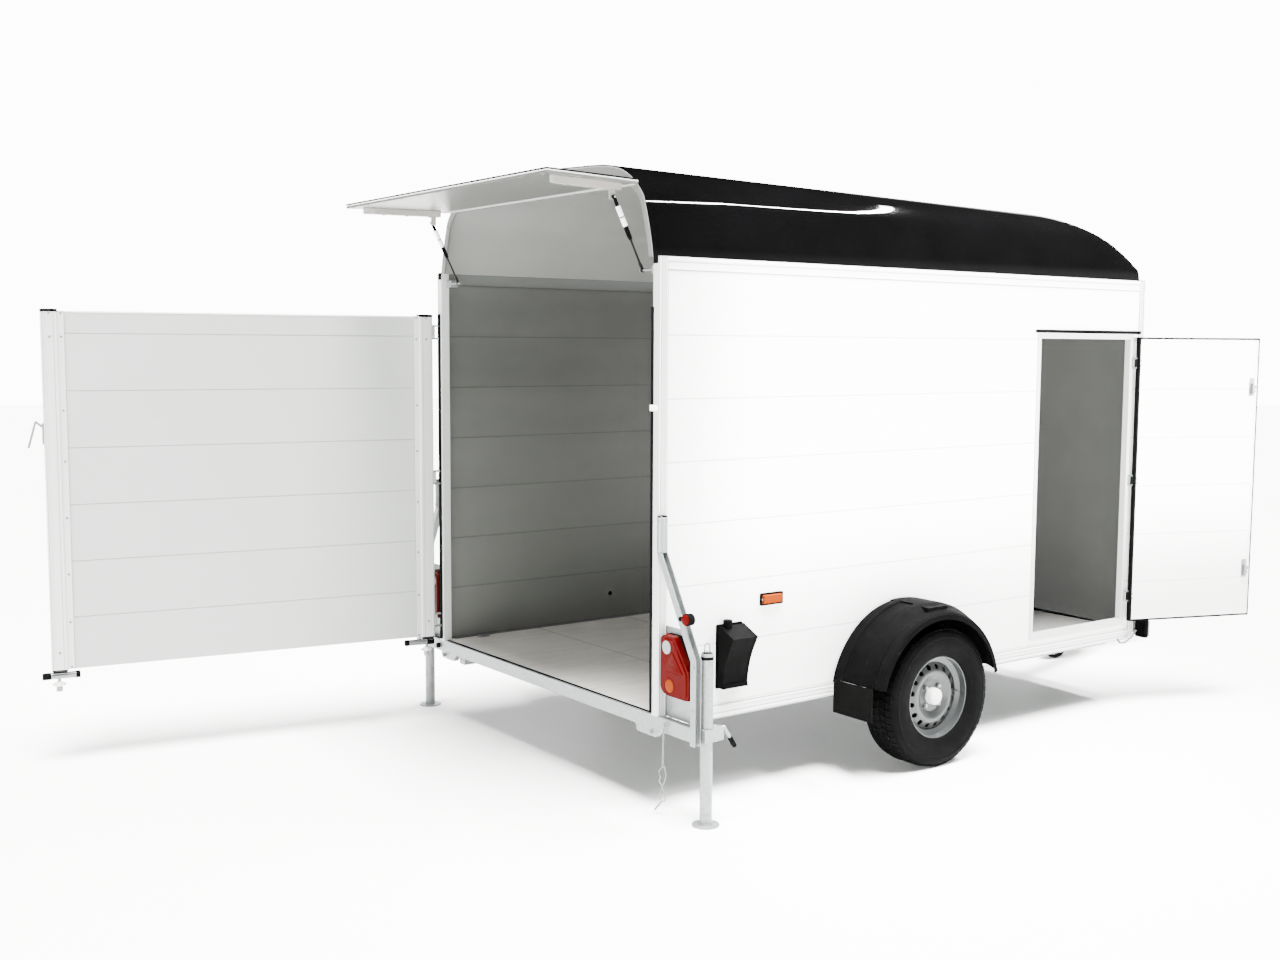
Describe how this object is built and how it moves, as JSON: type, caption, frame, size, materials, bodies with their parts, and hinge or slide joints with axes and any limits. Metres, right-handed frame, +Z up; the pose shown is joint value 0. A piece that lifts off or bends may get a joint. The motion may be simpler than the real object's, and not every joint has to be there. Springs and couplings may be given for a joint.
{
  "type": "enclosed cargo trailer",
  "caption": "Enclosed cargo trailer with a domed roof, side-hinged rear door under a lifting hatch, front side door, mudguards, prop stands and jockey wheel.",
  "frame": {"origin": "on the ground, on the centre line, under the wheel axle, which is also the middle of the box of the open trailer", "axes": "+X forward to the coupling, +Y to the left, +Z up"},
  "size_m": [6.2721, 2.3392, 2.5467],
  "materials": {
    "white_panel": "white coated aluminium planks, satin",
    "anodised": "anodised and white coated aluminium profile",
    "galvanised": "hot-dip galvanised steel",
    "board": "grey-beige film-faced floor board",
    "black_gloss": "black gel-coated polyester",
    "grey_lining": "light grey polyester, inner side",
    "black_plastic": "black moulded plastic",
    "rubber": "black rubber",
    "tyre": "tyre rubber",
    "silver_paint": "silver lacquered steel",
    "zinc": "bright zinc plated steel",
    "red_lens": "red lamp lens",
    "amber_lens": "amber lamp lens"
  },
  "bodies": {
    "trailer": {"axle_beam": "galvanised", "bellows": "black_plastic", "body_hinges": "galvanised", "chassis_rails": "galvanised", "corner_posts": "anodised", "coupling_head": "zinc", "crossmembers": "galvanised", "drawbar": "galvanised", "floor_board": "board", "front_panel": "black_gloss", "handbrake_lever": "black_plastic", "jockey_clamp": "galvanised", "jockey_leg": "galvanised", "jockey_tube": "galvanised", "light_guards": "galvanised", "marker_lamps": "red_lens", "mud_flaps": "rubber", "mudguards": "black_plastic", "overrun_housing": "galvanised", "rain_gutter": "black_plastic", "rear_gable": "grey_lining", "rear_sill": "galvanised", "roof_lining": "grey_lining", "roof_shell": "black_gloss", "side_door_frame": "anodised", "side_lamps": "amber_lens", "side_wall_left": "white_panel", "side_wall_right": "white_panel", "stand_clamps": "galvanised", "swing_arms": "galvanised", "tail_lamps": "red_lens", "vent_hood": "black_plastic", "wall_rails": "anodised"},
    "wheel_left": {"tyre_left": "tyre", "rim_left": "silver_paint", "brake_drum_left": "silver_paint"},
    "wheel_right": {"tyre_right": "tyre", "rim_right": "silver_paint", "brake_drum_right": "silver_paint"},
    "rear_door": {"rear_door_panel": "white_panel", "rear_door_posts": "anodised", "rear_door_fittings": "zinc"},
    "hatch": {"hatch_panel": "white_panel", "hatch_brackets": "anodised"},
    "strut_tube_left": {"strut_tube_left": "black_plastic"},
    "strut_tube_right": {"strut_tube_right": "black_plastic"},
    "strut_rod_left": {"strut_rod_left": "zinc"},
    "strut_rod_right": {"strut_rod_right": "zinc"},
    "side_door": {"side_door_panel": "white_panel", "side_door_edge": "rubber", "side_door_latches": "zinc"},
    "prop_stand_left": {"prop_stand_left": "galvanised"},
    "prop_stand_right": {"prop_stand_right": "galvanised"},
    "jockey_caster": {"jockey_fork": "galvanised"},
    "jockey_wheel": {"jockey_wheel": "rubber"}
  },
  "joints": [
    {"name": "wheel_left_spin", "type": "hinge", "parent": "trailer", "child": "wheel_left", "pos_m": [0, 1.03, 0.306], "axis": [0, 1, 0], "continuous": true},
    {"name": "wheel_right_spin", "type": "hinge", "parent": "trailer", "child": "wheel_right", "pos_m": [0, -1.03, 0.306], "axis": [0, 1, 0], "continuous": true},
    {"name": "rear_door_hinge", "type": "hinge", "parent": "trailer", "child": "rear_door", "pos_m": [-1.392, 0.872, 1.18], "axis": [0, 0, -1], "range_deg": [-99, 70]},
    {"name": "hatch_hinge", "type": "hinge", "parent": "trailer", "child": "hatch", "pos_m": [-1.372, 0, 2.434], "axis": [0, 1, 0], "range_deg": [-90, 0]},
    {"name": "strut_left_pivot", "type": "hinge", "parent": "hatch", "child": "strut_tube_left", "pos_m": [-1.466, 0.735, 2.376], "axis": [0, 1, 0], "range_deg": [-1, 122]},
    {"name": "strut_left_rod_slide", "type": "slide", "parent": "strut_tube_left", "child": "strut_rod_left", "axis": [0.4472, 0, -0.8944], "range_m": [-0.0696, 0.001]},
    {"name": "strut_right_pivot", "type": "hinge", "parent": "hatch", "child": "strut_tube_right", "pos_m": [-1.466, -0.735, 2.376], "axis": [0, 1, 0], "range_deg": [-1, 122]},
    {"name": "strut_right_rod_slide", "type": "slide", "parent": "strut_tube_right", "child": "strut_rod_right", "axis": [0.4472, 0, -0.8944], "range_m": [-0.0696, 0.001]},
    {"name": "side_door_hinge", "type": "hinge", "parent": "trailer", "child": "side_door", "pos_m": [1.605, -0.9065, 1.15], "axis": [0, 0, 1], "range_deg": [-160, 10]},
    {"name": "prop_stand_left_slide", "type": "slide", "parent": "trailer", "child": "prop_stand_left", "axis": [0, 0, -1], "range_m": [-0.3, 0]},
    {"name": "prop_stand_right_slide", "type": "slide", "parent": "trailer", "child": "prop_stand_right", "axis": [0, 0, -1], "range_m": [-0.3, 0]},
    {"name": "jockey_swivel", "type": "hinge", "parent": "trailer", "child": "jockey_caster", "pos_m": [2.265, 0, 0.2], "axis": [0, 0, 1], "continuous": true},
    {"name": "jockey_wheel_spin", "type": "hinge", "parent": "jockey_caster", "child": "jockey_wheel", "pos_m": [2.23, 0, 0.1], "axis": [0, 1, 0], "continuous": true}
  ],
  "couplings": [
    {"joint": "strut_left_pivot", "follows": "hatch_hinge", "ratio": -1.3383},
    {"joint": "strut_left_rod_slide", "follows": "hatch_hinge", "m_per_rad": 0.043012},
    {"joint": "strut_right_pivot", "follows": "hatch_hinge", "ratio": -1.3383},
    {"joint": "strut_right_rod_slide", "follows": "hatch_hinge", "m_per_rad": 0.043012}
  ]
}
